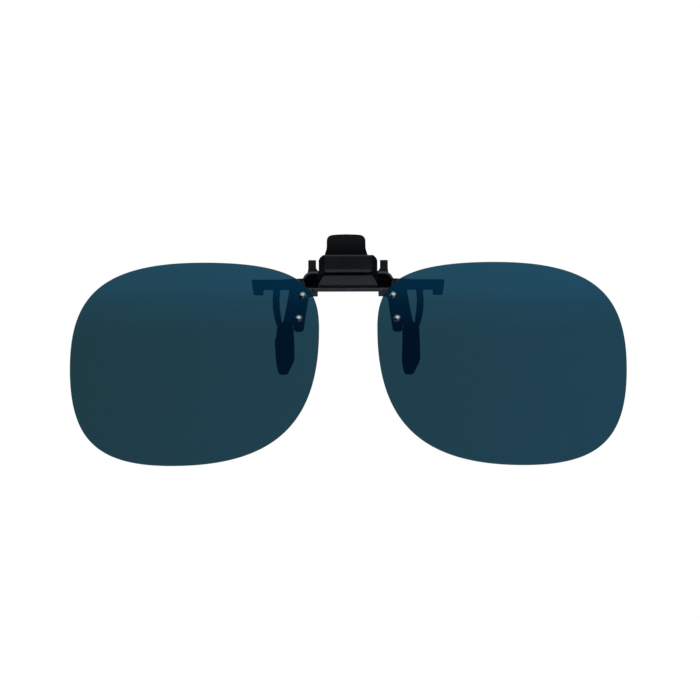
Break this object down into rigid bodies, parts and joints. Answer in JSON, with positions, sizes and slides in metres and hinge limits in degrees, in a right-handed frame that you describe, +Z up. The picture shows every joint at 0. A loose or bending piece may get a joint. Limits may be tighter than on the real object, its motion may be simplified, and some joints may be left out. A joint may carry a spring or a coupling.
{
  "type": "clip on sunglasses",
  "caption": "Flip-up clip-on sunglasses: two tinted polarised lenses riveted to a black bracket, hinged on a spring clip with rubber-tipped jaws.",
  "frame": {"origin": "middle of the flat saddle face under the rail, which rests on the top of the spectacle frame at the bridge", "axes": "+X to the wearer's left, which is the right-hand side seen from the front, along the overall width; front is -Y; +Z is up as worn"},
  "size_m": [0.1342, 0.0109, 0.0558],
  "materials": {
    "tinted_lens": "gloss",
    "black_moulding": "satin",
    "rubber_grip": "matte",
    "rivet_steel": "polished",
    "washer_steel": "satin",
    "pin_steel": "satin",
    "blackened_steel": "satin",
    "spring_steel": "satin"
  },
  "bodies": {
    "clip": {"clip_base": "black_moulding", "spring_housing": "black_moulding", "clamp_pin": "pin_steel", "torsion_spring": "spring_steel", "detent_spring": "spring_steel", "front_grip_left": "rubber_grip", "front_grip_right": "rubber_grip"},
    "lens_carrier": {"lens_bracket": "black_moulding", "lens_left": "tinted_lens", "lens_right": "tinted_lens", "rivet_left_upper": "rivet_steel", "rivet_left_lower": "rivet_steel", "rivet_right_upper": "rivet_steel", "rivet_right_lower": "rivet_steel", "washer_left_upper": "washer_steel", "washer_left_lower": "washer_steel", "washer_right_upper": "washer_steel", "washer_right_lower": "washer_steel", "flip_pin": "blackened_steel"},
    "clamp": {"clamp_lever": "black_moulding", "rear_grip_left": "rubber_grip", "rear_grip_right": "rubber_grip"}
  },
  "joints": [
    {"name": "flip_hinge", "type": "hinge", "parent": "clip", "child": "lens_carrier", "pos_m": [0, -0.0038, 0.0025], "axis": [-1, 0, 0], "range_deg": [0, 90], "deforming": ["detent_spring"]},
    {"name": "clamp_hinge", "type": "hinge", "parent": "clip", "child": "clamp", "pos_m": [0, 0.0009, 0.0062], "axis": [1, 0, 0], "range_deg": [0, 20], "stiffness_Nm_per_rad": 0.05, "springref_deg": -34.38, "deforming": ["torsion_spring"]}
  ]
}
